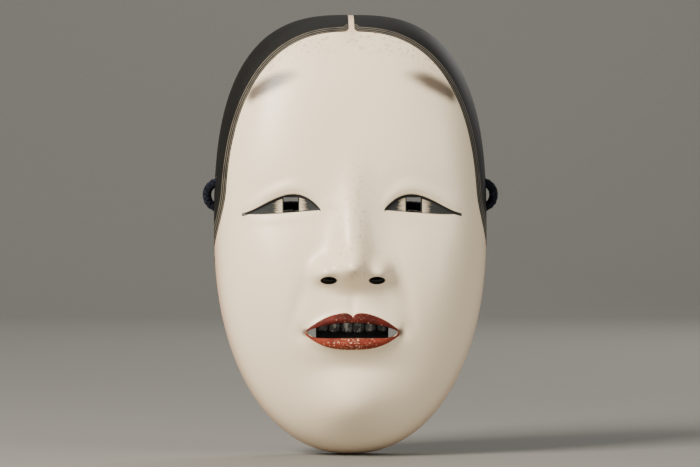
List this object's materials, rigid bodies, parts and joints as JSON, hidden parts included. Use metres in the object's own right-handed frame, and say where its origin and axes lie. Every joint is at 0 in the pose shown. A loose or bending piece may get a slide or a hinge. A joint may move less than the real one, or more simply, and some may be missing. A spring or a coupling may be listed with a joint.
{
  "type": "noh mask",
  "caption": "Carved wooden noh mask of the young-woman type with a white shell ground, painted hair, blackened teeth, open pupils and braided tying cords.",
  "frame": {"origin": "middle of the back rim's plane, half way between chin and crown", "axes": "+Z from chin to crown, -Y the way the face looks, +Y out of the back, +X the viewer's right when the mask is seen from the front"},
  "size_m": [0.1434, 0.067, 0.2136],
  "materials": {
    "cypress_wood": "satin",
    "shell_white": "satin",
    "back_lacquer": "satin",
    "hair_ink": "matte",
    "lip_red": "satin",
    "tooth_black": "gloss",
    "navy_braid": "matte",
    "tie_thread": "matte"
  },
  "bodies": {
    "root": {"mask_body": "cypress_wood", "ground_coat": "shell_white", "back_lacquer": "back_lacquer", "hair_left": "hair_ink", "hair_right": "hair_ink", "lip_upper": "lip_red", "lip_lower": "lip_red", "teeth_row": "tooth_black", "cord_knot_left": "navy_braid", "cord_left": "navy_braid", "cord_coil_left": "navy_braid", "cord_tie_left": "tie_thread", "cord_tip_left": "navy_braid", "cord_knot_right": "navy_braid", "cord_right": "navy_braid", "cord_coil_right": "navy_braid", "cord_tie_right": "tie_thread", "cord_tip_right": "navy_braid"}
  },
  "joints": []
}
